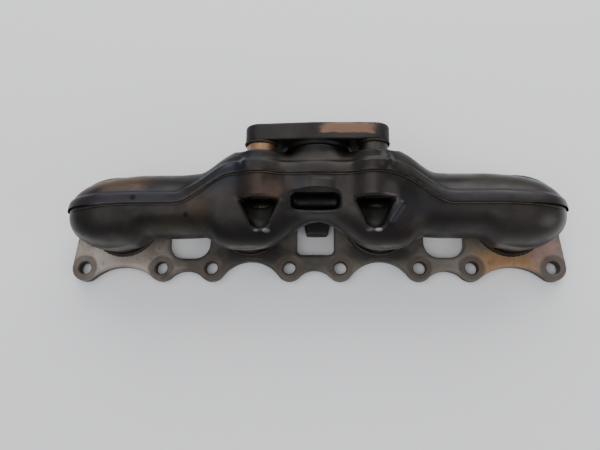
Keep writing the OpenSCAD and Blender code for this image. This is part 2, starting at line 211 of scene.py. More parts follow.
def log_distance(x, y, z):
    """Distance to the long closed body of the shells."""
    seam = seam_y(x)
    waist = waist_at(x)
    dy = y - seam
    dz = z - waist
    half_y = np.where(dy > 0, back_reach(x) - seam, front_reach(x) + seam)
    half_z = np.where(dz > 0, top_z(x) - waist, waist - under_z(x))
    rho = (abs(dy / half_y) ** SECTION_POWER + abs(dz / half_z) ** SECTION_POWER) ** (1 / SECTION_POWER)
    radius = np.clip(np.hypot(dy, dz) / np.maximum(rho, 1e-4), 12, 60)
    end = np.maximum(abs(x) - (SHELL_END - END_ROUND), 0) / END_ROUND
    return ((rho ** 2.1 + end ** 2.3) ** (1 / 2.2) - 1) * radius


def collar_distance(x, y, z, port):
    """Distance to the collar that stands the shell on the head flange round one port."""
    r = COLLAR_R - 0.6 * ease((z - PLATE_T) / 20)
    return np.maximum(np.hypot(x - port, y - COLLAR_Y) - r, z - WAIST_Z)


def boss_distance(x, y, z, bolt):
    """Distance to the round boss over a bolt sleeve, which ends at a flat front face."""
    side = np.hypot(x - bolt, z - TURBO_BOLT_Z) - BOSS_R
    return soft_max(np.maximum(side, y - BOSS_L), -y, 3.0)


def pocket_distance(x, y, z, bolt):
    """Distance to the pocket in front of a boss: wide at the boss, narrow at its far end, open upwards."""
    t = np.clip(-y / POCKET_RUN, 0, 1)
    r = 9.5 - 4.5 * t
    floor = TURBO_BOLT_Z + 6 * t
    flare = (5 - 2 * t) / 11
    above = np.maximum(z - floor, 0)
    below = np.minimum(z - floor, 0)
    side = np.hypot(x - bolt, below) - r - flare * above
    return soft_max(soft_max(side, -(y + POCKET_RUN), 4.0), y, 0.6)


def groove_distance(x, y, z):
    """Distance to the hollow across the shell between the two bosses."""
    long = abs(x - TURBO_X + 1) - GROOVE_L / 2
    across = np.hypot(y - GROOVE_Y, np.minimum(z - top_z(0) + GROOVE_SINK, 0)) - GROOVE_R
    return soft_max(across, long, 4.0)


def capsule_distance(x, y, z, start, end, r):
    """Distance to a rod with round ends."""
    start = np.array(start, float)
    axis = np.array(end, float) - start
    t = ((x - start[0]) * axis[0] + (y - start[1]) * axis[1] + (z - start[2]) * axis[2]) / (axis @ axis)
    t = np.clip(t, 0, 1)
    return np.sqrt(sum((c - a - t * d) ** 2 for c, a, d in zip((x, y, z), start, axis))) - r


def panel_lift(x, y, z):
    """Raised flat panel between the crease and the groove."""
    side = ease((8.5 - abs(x - 6)) / 2) * ease((y - 5.5) / 1.5) * ease((14 - y) / 2)
    return 0.4 * side * ease((z - 60) / 3)


def form_distance(x, y, z):
    """Distance to the closed form that both shells are pressed to."""
    form = log_distance(x, y, z)
    for port in PORT_X:
        form = soft_min(form, collar_distance(x, y, z, port), 9.0)
    for bolt in TURBO_BOLT_X:
        form = soft_min(form, boss_distance(x, y, z, bolt), 6.0)
    neck = np.maximum(np.hypot(x - TURBO_X, z - OUTLET_Z) - NECK_R, NECK_START - y)
    form = soft_min(form, neck, 5.0)
    for start, end, r, blend in PRESSED_BUMPS:
        form = soft_min(form, capsule_distance(x, y, z, start, end, r), blend)
    form = form - panel_lift(x, y, z)
    for bolt in TURBO_BOLT_X:
        form = soft_max(form, -pocket_distance(x, y, z, bolt), 2.2)
    return soft_max(form, -groove_distance(x, y, z), 3.0)


def true_distance(form, step):
    """Divides a sampled field by its own slope, so that a sheet has nearly the same thickness all over."""
    slope = np.sqrt(sum(part ** 2 for part in np.gradient(form, *step)))
    return form / np.clip(slope, 0.5, 2.5)


def sheet_distance(form, x, y, z, grow):
    """Distance to a sheet whose outer face is offset by grow from the form, with its openings cut."""
    sheet = np.maximum(form - grow, -(form - grow + SHEET_DEPTH))
    sheet = np.maximum(sheet, PLATE_T + 0.05 - z)
    inner = grow - SHELL_WALL
    for port in PORT_X:
        mouth = np.maximum(np.hypot(x - port, y - COLLAR_Y) - COLLAR_R - inner, z - PLATE_T - 1.5)
        sheet = np.maximum(sheet, -mouth)
    for bolt in TURBO_BOLT_X:
        hole = np.maximum(np.hypot(x - bolt, z - TURBO_BOLT_Z) - SLEEVE_R - 0.15, -2 - y)
        sheet = np.maximum(sheet, -hole)
    outlet = np.maximum(np.hypot(x - TURBO_X, z - OUTLET_Z) - NECK_R - inner, NECK_START + 2 - y)
    sheet = np.maximum(sheet, -outlet)
    return np.maximum(sheet, y - (TURBO_BACK - HUB_L - 0.1))


def lower_shell_distance(x, y, z):
    form = true_distance(form_distance(x, y, z), SHELL_STEP)
    sheet = sheet_distance(form, x, y, z, 0.0)
    return soft_max(sheet, y - seam_y(x) - LAP_W, 0.8)


def upper_shell_distance(x, y, z):
    """The upper shell stands proud over the lap, then steps down towards the rest of its face."""
    form = true_distance(form_distance(x, y, z), SHELL_STEP)
    across = y - seam_y(x)
    grow = SHELL_WALL - 1.0 * ease((across - LAP_W) / 2.6)
    sheet = sheet_distance(form, x, y, z, grow)
    return soft_max(sheet, -across, 1.0)


def slab_distance(side, height, thick, edge):
    """Distance to a flat slab from 0 to thick, from the distance to its outline, with soft edges."""
    return soft_max(side, abs(height - thick / 2) - thick / 2, edge)


# ---------- outlines of the flanges: circles joined by tangents, and by fillets between lugs ----------

def fillet(a, b, r):
    """A circle of radius r that touches circles a and b, on the right of a to b. side -1 marks it."""
    (pa, ra, _), (pb, rb, _) = a, b
    gap = pb - pa
    d = np.hypot(*gap)
    along = (d * d + (ra + r) ** 2 - (rb + r) ** 2) / (2 * d)
    off = math.sqrt((ra + r) ** 2 - along ** 2)
    u = gap / d
    return (pa + u * along + np.array([u[1], -u[0]]) * off, r, -1)


def lug(x, y, r):
    return (np.array([x, y], float), r, 1)


def leave_point(p, q):
    """Where the outline leaves circle p for circle q."""
    gap = q[0] - p[0]
    d = np.hypot(*gap)
    u = gap / d
    if p[2] != q[2]:
        return p[0] + u * p[1]
    lean = (p[1] - q[1]) / d
    return p[0] + p[1] * (u * lean + np.array([u[1], -u[0]]) * math.sqrt(1 - lean * lean))


def reach_point(p, q):
    """Where the outline that left circle p meets circle q."""
    if p[2] != q[2]:
        return leave_point(p, q)
    return q[0] + (leave_point(p, q) - p[0]) * q[1] / p[1]


def outline(circles):
    points = []
    for before, here, after in zip(circles[-1:] + circles[:-1], circles, circles[1:] + circles[:1]):
        centre, r, side = here
        first = reach_point(before, here) - centre
        last = leave_point(here, after) - centre
        start = math.atan2(first[1], first[0])
        sweep = (side * (math.atan2(last[1], last[0]) - start)) % (2 * math.pi)
        steps = max(2, math.ceil(sweep / math.radians(6)))
        for i in range(steps + 1):
            a = start + side * sweep * i / steps
            points.append(centre + r * np.array([math.cos(a), math.sin(a)]))
    return np.array(points)


def filleted(row, radii):
    joined = [row[0]]
    for a, b, r in zip(row, row[1:], radii):
        joined += [fillet(a, b, r), b]
    return joined


def polygon_distance(px, py, points):
    """Signed distance from each place to a closed polygon, negative inside."""
    best = np.full(px.shape, 1e9)
    inside = np.zeros(px.shape, bool)
    for a, b in zip(points, np.roll(points, -1, axis=0)):
        edge = b - a
        length = edge @ edge
        if length < 1e-9:
            continue
        wx = px - a[0]
        wy = py - a[1]
        t = np.clip((wx * edge[0] + wy * edge[1]) / length, 0, 1)
        best = np.minimum(best, (wx - edge[0] * t) ** 2 + (wy - edge[1] * t) ** 2)
        if abs(edge[1]) > 1e-9:
            crosses = (a[1] > py) != (b[1] > py)
            inside ^= crosses & (px < a[0] + edge[0] * (py - a[1]) / edge[1])
    return np.where(inside, -1, 1) * np.sqrt(best)


def head_outline():
    lower = [lug(x, -STUD_DROP, LUG_R) for x in STUD_X]
    pads = [lug(x, 0, PAD_R) for x in PORT_X]
    studs = [lug(side * BORE_PITCH, STUD_RISE, LUG_R) for side in (-1, 1)]
    upper = [pads[3], studs[1], pads[2], pads[1], studs[0], pads[0]]
    scallops = [34, 16.7, 25.5, 15.6, 25.5, 16.7, 34]
    return outline(filleted(lower, scallops) + filleted(upper, [12, 12, 30, 12, 12]))


def window_distance(x, y, left, right, low, high, corner):
    """Distance to a window with rounded lower corners."""
    dx = abs(x - (left + right) / 2) - ((right - left) / 2 - corner)
    dy = low + corner - y
    outside = np.hypot(np.maximum(dx, 0), np.maximum(dy, 0))
    body = outside + np.minimum(np.maximum(dx, dy), 0) - corner
    return soft_max(body, y - high, 1.0)


def tab_distance(x, y):
    """Distance to the tapered tab that hangs into the middle window."""
    lean = (y - TAB_Y) / 4
    side = abs(x - TAB_X) - (TAB_HALF + lean)
    return soft_max(side, TAB_Y - y, 2.0)


# ---------- surface nets ----------

def surface_net(field):
    """Vertices, in steps of the grid, and quads of the surface where the sampled field crosses zero."""
    inside = field < 0
    cells = tuple(n - 1 for n in field.shape)
    total = np.zeros(cells + (3,), np.float32)
    count = np.zeros(cells, np.float32)
    crossings = []
    for axis in range(3):
        low = [slice(None)] * 3
        high = [slice(None)] * 3
        low[axis] = slice(None, -1)
        high[axis] = slice(1, None)
        a, b = field[tuple(low)], field[tuple(high)]
        cross = inside[tuple(low)] != inside[tuple(high)]
        t = np.where(cross, a / np.where(cross, a - b, 1), 0)
        crossings.append(cross)
        u, v = (axis + 1) % 3, (axis + 2) % 3
        for du in (0, 1):
            for dv in (0, 1):
                part = [slice(None)] * 3
                part[u] = slice(du, du + cells[u])
                part[v] = slice(dv, dv + cells[v])
                c = cross[tuple(part)]
                count += c
                total[..., axis] += t[tuple(part)]
                total[..., u] += c * du
                total[..., v] += c * dv
    used = count > 0
    number = np.cumsum(used.ravel()).reshape(cells) - 1
    points = np.argwhere(used) + total[used] / count[used][:, None]
    quads = []
    for axis, cross in enumerate(crossings):
        u, v = (axis + 1) % 3, (axis + 2) % 3
        at = np.argwhere(cross)
        at = at[(at[:, u] > 0) & (at[:, v] > 0) & (at[:, u] < cells[u]) & (at[:, v] < cells[v])]
        corners = []
        for du, dv in ((1, 1), (0, 1), (0, 0), (1, 0)):
            cell = at.copy()
            cell[:, u] -= du
            cell[:, v] -= dv
            corners.append(number[tuple(cell.T)])
        quad = np.stack(corners, 1)
        outward = inside[tuple(at.T)]
        quads.append(np.where(outward[:, None], quad, quad[:, ::-1]))
    return points, np.concatenate(quads)


def net_object(name, distance, low, high, step):
    """Makes the mesh of a distance function inside a box."""
    axes = [np.arange(a, b + s, s) for a, b, s in zip(low, high, step)]
    grid = np.meshgrid(*axes, indexing="ij", sparse=True)
    field = distance(*grid).astype(np.float32)
    points, quads = surface_net(np.broadcast_to(field, [len(a) for a in axes]))
    return mesh_object(name, np.array(low) + np.array(step) * points, quads.tolist())


def mesh_object(name, points, faces):
    mesh = bpy.data.meshes.new(name)
    mesh.from_pydata((np.asarray(points) * MM).tolist(), [], faces)
    mesh.shade_smooth()
    obj = bpy.data.objects.new(name, mesh)
    bpy.context.scene.collection.objects.link(obj)
    return obj


def finish_piece(obj, slot, *nodes):
    """Puts a piece on the one rigid body, in place of its CAD nodes."""
    obj.data.materials.clear()
    obj.data.materials.append(MATERIALS[slot])
    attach(obj, "root")
    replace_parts(obj, *nodes)
    return obj


# ---------- materials ----------

class Surface:
    """Builds one procedural metal: its colours, roughness and fine relief. Scales are per metre."""

    def __init__(self, name, metallic):
        self.material = bpy.data.materials.new(name)
        self.material.use_nodes = True
        self.tree = self.material.node_tree
        self.shader = self.tree.nodes["Principled BSDF"]
        self.shader.inputs["Metallic"].default_value = metallic
        self.place = self.tree.nodes.new("ShaderNodeTexCoord").outputs["Object"]

    def link(self, value, socket):
        if hasattr(value, "links"):
            self.tree.links.new(value, socket)
        elif socket.type == "RGBA":
            socket.default_value = (*value, 1)
        else:
            socket.default_value = value

    def node(self, kind, **sockets):
        made = self.tree.nodes.new(kind)
        for key, value in sockets.items():
            self.link(value, made.inputs[key])
        return made

    def noise(self, scale, detail=4.0, rough=0.55, distortion=0.0, place=None):
        made = self.node("ShaderNodeTexNoise", Scale=scale, Detail=detail, Roughness=rough,
                         Distortion=distortion)
        self.tree.links.new(place or self.place, made.inputs["Vector"])
        return made.outputs["Fac"]

    def moved(self, offset, stretch=(1, 1, 1)):
        """The place on the object, shifted and stretched, so that patterns differ."""
        made = self.node("ShaderNodeMapping", Vector=self.place)
        made.inputs["Location"].default_value = offset
        made.inputs["Scale"].default_value = stretch
        return made.outputs["Vector"]

    def ranged(self, value, low, high, out_low=0.0, out_high=1.0):
        made = self.tree.nodes.new("ShaderNodeMapRange")
        made.interpolation_type = "SMOOTHSTEP"
        for key, number in zip(("Value", "From Min", "From Max", "To Min", "To Max"),
                               (value, low, high, out_low, out_high)):
            self.link(number, made.inputs[key])
        return made.outputs["Result"]

    def maths(self, operation, a, b):
        made = self.tree.nodes.new("ShaderNodeMath")
        made.operation = operation
        self.link(a, made.inputs[0])
        self.link(b, made.inputs[1])
        return made.outputs[0]

    def mix(self, a, b, factor):
        made = self.tree.nodes.new("ShaderNodeMix")
        made.data_type = "RGBA"
        self.link(factor, made.inputs[0])
        self.link(a, made.inputs[6])
        self.link(b, made.inputs[7])
        return made.outputs[2]

    def centred(self, centre, half):
        """The place measured from a centre given in millimetres, in half sizes."""
        scale = [1 / (r * MM) for r in half]
        return self.moved([-c * MM * s for c, s in zip(centre, scale)], scale)

    def blob(self, centre, radii, edge=0.35, rough=0.25):
        """1 inside an uneven patch round a place given in millimetres, 0 outside."""
        length = self.tree.nodes.new("ShaderNodeVectorMath")
        length.operation = "LENGTH"
        self.tree.links.new(self.centred(centre, radii), length.inputs[0])
        wander = self.ranged(self.noise(70, 5), 0.25, 0.75, -rough, rough)
        return self.ranged(self.maths("ADD", length.outputs["Value"], wander), 1 + edge, 1 - edge)

    def slab(self, centre, half, edge=0.12, rough=0.10):
        """1 inside an uneven block round a place given in millimetres, 0 outside."""
        parts = self.node("ShaderNodeSeparateXYZ", Vector=self.centred(centre, half))
        x, y, z = [self.maths("ABSOLUTE", socket, 0.0) for socket in parts.outputs]
        wander = self.ranged(self.noise(90, 5), 0.25, 0.75, -rough, rough)
        most = self.maths("MAXIMUM", self.maths("MAXIMUM", x, y), z)
        return self.ranged(self.maths("ADD", most, wander), 1 + edge, 1 - edge)

    def edges(self, low, high):
        """1 on convex edges, where the skin is worn; the same mask also lays a painted edge highlight."""
        made = self.tree.nodes.new("ShaderNodeNewGeometry")
        return self.ranged(made.outputs["Pointiness"], low, high)

    def done(self, colour, rough, relief, depth):
        self.link(colour, self.shader.inputs["Base Color"])
        self.link(rough, self.shader.inputs["Roughness"])
        bump = self.node("ShaderNodeBump", Height=relief, Strength=0.6, Distance=depth * MM)
        self.tree.links.new(bump.outputs["Normal"], self.shader.inputs["Normal"])
        return self.material


def shell_metal():
    """Pressed stainless sheet, heat-stained dark brown with purple, blue and straw tints, with painted
    shade, painted highlights, painted light in the pockets and a painted floor reflection laid over, and
    worn edges that also carry a painted highlight.
    """
    s = Surface("shell_steel", 0.82)
    cloud = s.noise(9, 5, 0.6, 0.6)
    patch = s.noise(26, 6, 0.6, 0.8, s.moved((0.3, 0.1, 0.7)))
    speck = s.noise(240, 4, 0.7, 0.0, s.moved((0.9, 0.4, 0.2)))
    colour = s.mix((0.014, 0.0125, 0.0115), (0.037, 0.032, 0.029), s.ranged(cloud, 0.35, 0.68))
    colour = s.mix(colour, (0.021, 0.021, 0.029), s.ranged(patch, 0.56, 0.74, 0, 0.5))
    brown = s.ranged(s.noise(17, 5, 0.6, 0.5, s.moved((0.5, 0.8, 0.1))), 0.56, 0.72, 0, 0.6)
    colour = s.mix(colour, (0.042, 0.028, 0.019), brown)
    # Heat tints, and the painted shade, highlights, light and reflection listed with them.
    for centre, radii, tint, amount in SHELL_TINTS_AND_PAINTED_LIGHT:
        mask = s.maths("MULTIPLY", s.blob(centre, radii, 0.5), amount)
        colour = s.mix(colour, tint, mask)
    colour = s.mix(colour, (0.013, 0.011, 0.010), s.ranged(speck, 0.6, 0.78, 0, 0.6))
    # Worn edges, lightened also as a painted edge highlight.
    colour = s.mix(colour, (0.17, 0.15, 0.135), s.maths("MULTIPLY", s.edges(0.53, 0.6), 0.55))
    rough = s.ranged(s.noise(60, 6, 0.6), 0.3, 0.7, 0.30, 0.50)
    relief = s.mix((0, 0, 0), (1, 1, 1), s.maths("ADD", s.noise(420, 5, 0.65), s.noise(45, 3, 0.5)))
    return s.done(colour, rough, relief, 0.10)


# Patches of heat tint on the shells, among them painted shade, painted highlights, painted light and a
# painted reflection of the floor: place, half sizes, colour and strength
SHELL_TINTS_AND_PAINTED_LIGHT = [
    ((-132, 15, 55), (24, 9, 14), (0.085, 0.052, 0.026), 0.8),
    ((-120, 3, 64), (45, 6, 8), (0.034, 0.032, 0.042), 0.6),
    ((115, 4, 64), (45, 5, 8), (0.042, 0.040, 0.045), 0.5),
    ((-34, 6, 76), (16, 12, 10), (0.040, 0.026, 0.019), 0.7),
    ((40, 6, 76), (16, 12, 10), (0.036, 0.029, 0.027), 0.6),
    # Painted highlights on the right sides of the two bosses.
    ((-26, 5, 72), (6, 6, 8), (0.085, 0.055, 0.042), 0.75),
    ((50, 4, 72), (6, 7, 8), (0.075, 0.062, 0.058), 0.7),
    ((-34, -0.5, 70), (13, 2, 8), (0.085, 0.062, 0.048), 0.6),
    ((-48, 27, 72), (16, 9, 12), (0.018, 0.021, 0.028), 0.7),
    ((-60, 14, 66), (20, 8, 12), (0.018, 0.021, 0.030), 0.5),
    ((8, 25, 70), (36, 6, 10), (0.033, 0.029, 0.026), 0.6),
    ((6, 10, 71), (9, 6, 6), (0.034, 0.032, 0.029), 0.6),
    # Painted shade on the neck behind the turbo flange.
    ((3, 36, 52), (28, 5, 22), (0.008, 0.007, 0.007), 0.9),
    # Painted shade in the groove between the bosses, then a painted highlight on its lit front lip.
    ((3, -0.5, 59), (19, 5, 6), (0.005, 0.005, 0.005), 0.9),
    ((3, -8, 62), (18, 3, 6), (0.050, 0.048, 0.045), 0.7),
    # Painted light in the two deep pockets, in place of the light they catch.
    ((-34.5, -7, 58), (9, 9, 8), (0.13, 0.13, 0.115), 0.85),
    ((40.5, -7, 58), (9, 9, 8), (0.12, 0.12, 0.105), 0.85),
    # Painted highlights on the lower rims of the pockets.
    ((-37, -19.6, 66), (1.6, 0.9, 9), (0.11, 0.105, 0.10), 0.7),
    ((-30, -19.6, 66), (2.0, 1.0, 9), (0.17, 0.16, 0.155), 0.8),
    ((36.5, -19.6, 66), (1.8, 0.8, 9), (0.10, 0.095, 0.095), 0.7),
    ((43, -19.3, 66), (2.2, 1.1, 9), (0.19, 0.185, 0.18), 0.8),
    ((-47, -26, 30), (30, 8, 16), (0.040, 0.035, 0.024), 0.7),
    ((47, -26, 30), (30, 8, 16), (0.028, 0.028, 0.022), 0.6),
    # Painted reflection of the floor on the lower fronts of the shell ends.
    ((-138, -24, 36), (30, 8, 20), (0.056, 0.055, 0.050), 0.75),
    ((140, -24, 36), (28, 8, 20), (0.030, 0.030, 0.026), 0.6),
    ((88, -22, 34), (9, 8, 9), (0.10, 0.062, 0.048), 0.6),
    ((-74, -4, 60), (10, 8, 10), (0.048, 0.029, 0.019), 0.6),
    ((-92, -14, 52), (22, 8, 14), (0.046, 0.037, 0.024), 0.5),
    ((-83, -9, 55), (1.6, 1.6, 20), (0.004, 0.004, 0.004), 0.9),
    ((-118, 2, 60), (1.6, 1.6, 20), (0.004, 0.004, 0.004), 0.8),
]


def flange_metal():
    """Thick flange plate: straw and tan scale at the left, rust at the right, with painted shade on its
    side faces and painted shadows under the shells.
    """
    s = Surface("flange_steel", 0.45)
    cloud = s.noise(14, 6, 0.6, 0.5)
    fine = s.noise(150, 6, 0.7)
    colour = s.mix((0.070, 0.060, 0.050), (0.17, 0.15, 0.125), s.ranged(cloud, 0.32, 0.68))
    for centre, radii, tint, amount in FLANGE_TINTS_AND_PAINTED_SHADE:
        mask = s.maths("MULTIPLY", s.blob(centre, radii, 0.45, 0.3), amount)
        colour = s.mix(colour, tint, mask)
    for x in STUD_X:
        ring = s.blob((x, -STUD_DROP, PLATE_T), (NUT_SEAT_R + 0.6,) * 3, 0.12, 0.1)
        colour = s.mix(colour, (0.070, 0.052, 0.042), s.maths("MULTIPLY", ring, 0.75))
    colour = s.mix(colour, (0.035, 0.026, 0.020), s.ranged(fine, 0.55, 0.76, 0, 0.7))
    # Worn edges, lightened also as a painted edge highlight.
    colour = s.mix(colour, (0.36, 0.31, 0.26), s.maths("MULTIPLY", s.edges(0.52, 0.62), 0.6))
    # Painted shade on the side faces of the plate, below its rounded top edge.
    z = s.node("ShaderNodeSeparateXYZ", Vector=s.place).outputs["Z"]
    colour = s.mix(colour, (0.022, 0.020, 0.020), s.ranged(z, 7.9 * MM, 6.6 * MM, 0, 0.85))
    rough = s.ranged(s.noise(70, 6), 0.3, 0.7, 0.45, 0.72)
    relief = s.mix((0, 0, 0), (1, 1, 1), s.maths("ADD", s.noise(300, 6, 0.7), s.noise(60, 4)))
    return s.done(colour, rough, relief, 0.16)


# Patches of colour on the head flange, and painted shadows under the shells: place, half sizes, colour and
# strength
FLANGE_TINTS_AND_PAINTED_SHADE = [
    ((-140, -28, 10), (34, 22, 14), (0.34, 0.29, 0.25), 0.85),
    ((-30, -30, 10), (60, 14, 14), (0.036, 0.032, 0.027), 0.8),
    ((50, -30, 10), (24, 10, 14), (0.085, 0.072, 0.048), 0.6),
    ((92, -38, 10), (14, 8, 14), (0.17, 0.15, 0.125), 0.6),
    ((136, -30, 10), (22, 12, 14), (0.33, 0.19, 0.09), 0.9),
    ((163, -18, 10), (12, 14, 14), (0.27, 0.17, 0.14), 0.8),
    # Painted shadows on the plate under the lobes of ports 2 and 3, and under the middle of the shells.
    ((-47, -24, 10), (26, 8, 8), (0.016, 0.014, 0.013), 0.85),
    ((47, -24, 10), (26, 8, 8), (0.016, 0.014, 0.013), 0.85),
    ((1.5, -5, 10), (12, 10, 12), (0.020, 0.018, 0.016), 0.85),
]


def turbo_metal():
    """Machined flange with dark scale, a rusty patch that was ground bare, and painted shade on the front
    face of its hub.
    """
    s = Surface("turbo_flange_steel", 0.7)
    cloud = s.noise(22, 6, 0.6, 0.4)
    fine = s.noise(200, 5, 0.7)
    colour = s.mix((0.013, 0.011, 0.0105), (0.029, 0.025, 0.023), s.ranged(cloud, 0.35, 0.65))
    bare = s.slab((22, 47.2, 74), (16.5, 3.4, 6), 0.16, 0.2)
    colour = s.mix(colour, (0.155, 0.088, 0.058), s.maths("MULTIPLY", bare, 0.9))
    colour = s.mix(colour, (0.014, 0.012, 0.011), s.ranged(fine, 0.6, 0.8, 0, 0.6))
    # Painted shade on the front face of the hub, which faces the shell.
    front = s.blob((TURBO_X, TURBO_BACK - 2, 48), (30, 3.5, 30), 0.2, 0.05)
    colour = s.mix(colour, (0.010, 0.009, 0.008), s.maths("MULTIPLY", front, 0.8))
    # Worn edges, lightened also as a painted edge highlight.
    colour = s.mix(colour, (0.15, 0.13, 0.12), s.maths("MULTIPLY", s.edges(0.53, 0.62), 0.6))
    rough = s.ranged(s.noise(80, 6), 0.3, 0.7, 0.36, 0.6)
    relief = s.mix((0, 0, 0), (1, 1, 1), s.noise(350, 5, 0.7))
    return s.done(colour, rough, relief, 0.12)


def plain_metal(name, dark, light, metallic, rough_low, rough_high, depth, scale=40, shade_below_y=None):
    """A stained metal with cloudy colour, specks, worn edges with a painted edge highlight, fine relief,
    and painted shade up to a Y place.
    """
    s = Surface(name, metallic)
    colour = s.mix(dark, light, s.ranged(s.noise(scale, 6, 0.6, 0.4), 0.35, 0.65))
    speck = s.ranged(s.noise(scale * 8, 5, 0.7), 0.58, 0.78, 0, 0.6)
    colour = s.mix(colour, tuple(0.45 * c for c in dark), speck)
    bright = tuple(min(1, 1.8 * c) for c in light)
    # Worn edges, lightened also as a painted edge highlight.
    colour = s.mix(colour, bright, s.maths("MULTIPLY", s.edges(0.53, 0.62), 0.5))
    if shade_below_y is not None:
        # Painted shade on the end of a sleeve below the given Y place.
        y = s.node("ShaderNodeSeparateXYZ", Vector=s.place).outputs["Y"]
        colour = s.mix(colour, PAINTED_END_SHADE, s.ranged(y, (shade_below_y + 3) * MM, (shade_below_y - 3) * MM))
    rough = s.ranged(s.noise(scale * 3, 5), 0.3, 0.7, rough_low, rough_high)
    relief = s.mix((0, 0, 0), (1, 1, 1), s.noise(scale * 10, 5, 0.7))
    return s.done(colour, rough, relief, depth)


PAINTED_END_SHADE = (0.012, 0.010, 0.009)
MATERIALS = {
    "shell_steel": shell_metal(),
    "flange_steel": flange_metal(),
    "turbo_flange_steel": turbo_metal(),
    "liner_steel": plain_metal("liner_steel", (0.045, 0.037, 0.031), (0.11, 0.09, 0.075), 0.6,
                               0.5, 0.75, 0.15),
    "sleeve_copper_tint": plain_metal("sleeve_copper_tint", (0.17, 0.085, 0.045), (0.33, 0.20, 0.12), 0.8,
                                      0.28, 0.5, 0.08, shade_below_y=24),
    "sleeve_steel": plain_metal("sleeve_steel", (0.040, 0.036, 0.033), (0.095, 0.085, 0.078), 0.85,
                                0.3, 0.5, 0.08, shade_below_y=24),
    "weld_metal": plain_metal("weld_metal", (0.022, 0.017, 0.014), (0.052, 0.038, 0.029), 0.7,
                              0.4, 0.65, 0.15),
}


# ---------- pieces ----------

def make_shells():
    low = (-SHELL_END - 3, -32, PLATE_T - 2)
    high = (SHELL_END + 3, 41, CREST_Z + 15)
    lower_high = (high[0], 30, high[2])
    upper_low = (low[0], -3, low[2])
    lower = net_object("shell_lower_pressing", lower_shell_distance, low, lower_high, SHELL_STEP)
    finish_piece(lower, "shell_steel", "shell_lower")
    upper = net_object("shell_upper_pressing", upper_shell_distance, upper_low, high, SHELL_STEP)
    finish_piece(upper, "shell_steel", "shell_upper")


def make_head_flange():
    edge = head_outline()

    def distance(x, y, z):
        side = polygon_distance(x + 0 * y, y + 0 * x, edge)
        for window in SIDE_WINDOWS:
            side = soft_max(side, -window_distance(x, y, *window), 0.5)
        middle_window = soft_max(window_distance(x, y, *MIDDLE_WINDOW), -tab_distance(x, y), 1.0)
        side = soft_max(side, -middle_window, 0.5)
        studs = [(stud, -STUD_DROP) for stud in STUD_X] + [(s * BORE_PITCH, STUD_RISE) for s in (-1, 1)]
        for port in PORT_X:
            side = np.maximum(side, LINER_R - np.hypot(x - port, y))
        for sx, sy in studs:
            side = np.maximum(side, STUD_HOLE_R - np.hypot(x - sx, y - sy))
        plate = slab_distance(side, z, PLATE_T, 2.2)
        for sx, sy in studs:
            seat = np.maximum(np.hypot(x - sx, y - sy) - NUT_SEAT_R, PLATE_T - NUT_SEAT_DEPTH - z)
            plate = np.maximum(plate, -seat)
        return plate

    low = (-182, -47, -1.15)
    high = (182, 39, PLATE_T + 1.3)
    flange = net_object("head_flange_plate", distance, low, high, PLATE_STEP)
    finish_piece(flange, "flange_steel", "head_flange")


def make_turbo_flange():
    edge = outline([
        lug(TURBO_X, TURBO_LOW_Z, TURBO_LUG_R + 0.5),
        lug(TURBO_BOLT_X[1], TURBO_BOLT_Z, TURBO_LUG_R),
        lug(TURBO_X, TURBO_BOLT_Z + TURBO_LUG_R + 1.2 - CROWN_R, CROWN_R),
        lug(TURBO_BOLT_X[0], TURBO_BOLT_Z - 0.7, TURBO_LUG_R),
    ])

    def distance(x, y, z):
        side = polygon_distance(x + 0 * z, z + 0 * x, edge)
        plate = slab_distance(side, y - TURBO_BACK, TURBO_T, 1.8)
        from_bore = np.hypot(x - TURBO_X, z - OUTLET_Z)
        hub = soft_max(from_bore - HUB_R + 0.3 * (TURBO_BACK - y), TURBO_BACK - HUB_L - y, 1.0)
        hub = np.maximum(hub, y - TURBO_BACK - 1)
        body = soft_min(plate, hub, 1.5)
        body = soft_max(body, OUTLET_R - from_bore, 1.0)
        liner = np.maximum(from_bore - OUTLET_R - LINER_WALL, y - TURBO_BACK - 5)
        body = np.maximum(body, -liner)
        for bx, bz in [(b, TURBO_BOLT_Z) for b in TURBO_BOLT_X] + [(TURBO_X, TURBO_LOW_Z)]:
            body = soft_max(body, TURBO_HOLE_R - np.hypot(x - bx, z - bz), 0.8)
        return body

    low = (TURBO_BOLT_X[0] - 12.5, TURBO_BACK - 4, TURBO_LOW_Z - 13)
    high = (TURBO_BOLT_X[1] + 12.5, TURBO_BACK + TURBO_T + 1.3, TURBO_BOLT_Z + 14)
    flange = net_object("turbo_flange_body", distance, low, high, TURBO_STEP)
    finish_piece(flange, "turbo_flange_steel", "turbo_flange")


def ring_faces(segments, n):
    """Quads of a closed ring, which join each profile of n points to the next one."""
    faces = []
    for i in range(segments):
        ahead = (i + 1) % segments
        for j in range(n):
            k = (j + 1) % n
            faces.append((i * n + j, i * n + k, ahead * n + k, ahead * n + j))
    return faces


def revolved(name, profile, segments, place):
    """Turns a closed profile of (radius, height) about an axis. place(r, angle, h) gives X, Y, Z."""
    points = []
    for i in range(segments):
        a = 2 * math.pi * i / segments
        points += [place(r, a, h) for r, h in profile]
    return mesh_object(name, points, ring_faces(segments, len(profile)))


def along_y(x, z):
    """Placement round an axis along Y through x and z."""
    return lambda r, a, h: (x + r * math.cos(a), h, z + r * math.sin(a))


def along_z(x, y):
    return lambda r, a, h: (x + r * math.cos(a), y + r * math.sin(a), h)


